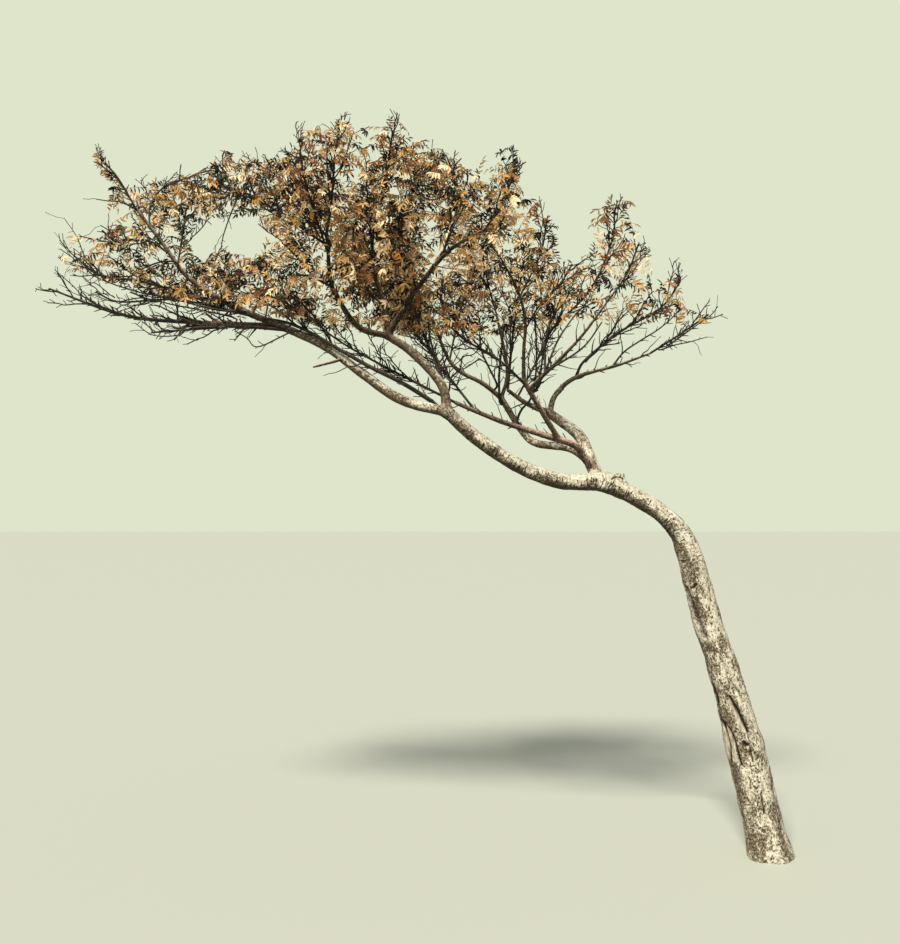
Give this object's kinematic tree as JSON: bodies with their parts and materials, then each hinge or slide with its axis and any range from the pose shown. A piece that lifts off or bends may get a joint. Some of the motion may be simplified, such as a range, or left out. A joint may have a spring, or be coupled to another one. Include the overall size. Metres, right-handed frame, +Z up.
{
  "type": "rowan tree",
  "caption": "Leaning wind-shaped rowan tree in autumn, with a bent pale trunk, bare spreading boughs and a sparse flat-topped crown of tan leaves.",
  "frame": {"origin": "middle of the flat cut under the trunk, at ground level", "axes": "+Z up; the trunk leans towards -X; -Y is the side that the picture shows"},
  "size_m": [3.4139, 1.2567, 3.3323],
  "materials": {
    "pale_bark": "rough pale lichened bark",
    "dark_bark": "grey-brown young bark",
    "rust_bark": "smooth reddish-brown bark",
    "foliage": "dry tan and olive leaves"
  },
  "bodies": {
    "root": {"beside_gap_mass": "foliage", "crest_bough_left": "dark_bark", "crest_bough_middle": "dark_bark", "crest_bough_right": "dark_bark", "far_left_arch_mass": "foliage", "far_left_bough": "dark_bark", "far_left_low_mass": "foliage", "far_left_rear_mass": "foliage", "far_left_under_mass": "foliage", "far_right_bough": "dark_bark", "far_right_mass": "foliage", "front_bough": "dark_bark", "front_crest_mass": "foliage", "front_low_mass": "foliage", "front_peak_mass": "foliage", "front_right_bough": "dark_bark", "front_right_mass": "foliage", "front_side_mass": "foliage", "front_upper_bough": "dark_bark", "heart_mass": "foliage", "inner_front_mass": "foliage", "inner_left_mass": "foliage", "inner_rear_mass": "foliage", "left_bough": "pale_bark", "left_crest_mass": "foliage", "left_dark_mass": "foliage", "left_dome_mass": "foliage", "left_middle_mass": "foliage", "left_peak_mass": "foliage", "left_spire_mass": "foliage", "low_left_bough": "pale_bark", "low_left_mass": "foliage", "middle_front_mass": "foliage", "middle_low_mass": "foliage", "middle_peak_mass": "foliage", "middle_rear_mass": "foliage", "over_gap_mass": "foliage", "rear_bough": "dark_bark", "rear_dome_mass": "foliage", "rear_left_bough": "dark_bark", "rear_left_mass": "foliage", "rear_low_mass": "foliage", "rear_middle_bough": "dark_bark", "rear_middle_mass": "foliage", "rear_right_bough": "dark_bark", "rear_right_mass": "foliage", "rear_side_mass": "foliage", "right_bough": "pale_bark", "right_clump_mass": "foliage", "right_crest_mass": "foliage", "right_peak_mass": "foliage", "right_side_mass": "foliage", "right_spire_mass": "foliage", "rising_bough": "dark_bark", "rust_bough": "rust_bark", "trunk": "pale_bark", "under_gap_mass": "foliage", "under_gap_rear_mass": "foliage"}
  },
  "joints": []
}
